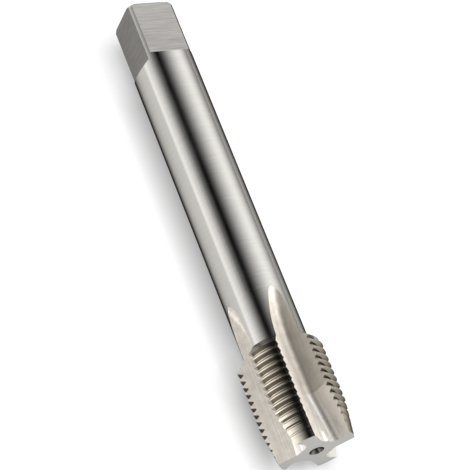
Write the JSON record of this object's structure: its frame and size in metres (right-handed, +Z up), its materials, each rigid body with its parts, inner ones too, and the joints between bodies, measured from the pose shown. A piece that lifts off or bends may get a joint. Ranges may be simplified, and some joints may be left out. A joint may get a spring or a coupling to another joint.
{
  "type": "thread tap",
  "caption": "Straight-fluted machine tap with a spiral point, a pipe thread larger than its plain ground shank, and a square drive.",
  "frame": {"origin": "middle of the tool's length and width, on the surface that it lies on", "axes": "+Y along the tool's axis, from the point to the drive square; +Z up, through the middle of the top flute"},
  "size_m": [0.019, 0.125, 0.0191],
  "materials": {
    "tool_steel": "bright ground"
  },
  "bodies": {
    "root": {"tap": "tool_steel"}
  },
  "joints": []
}
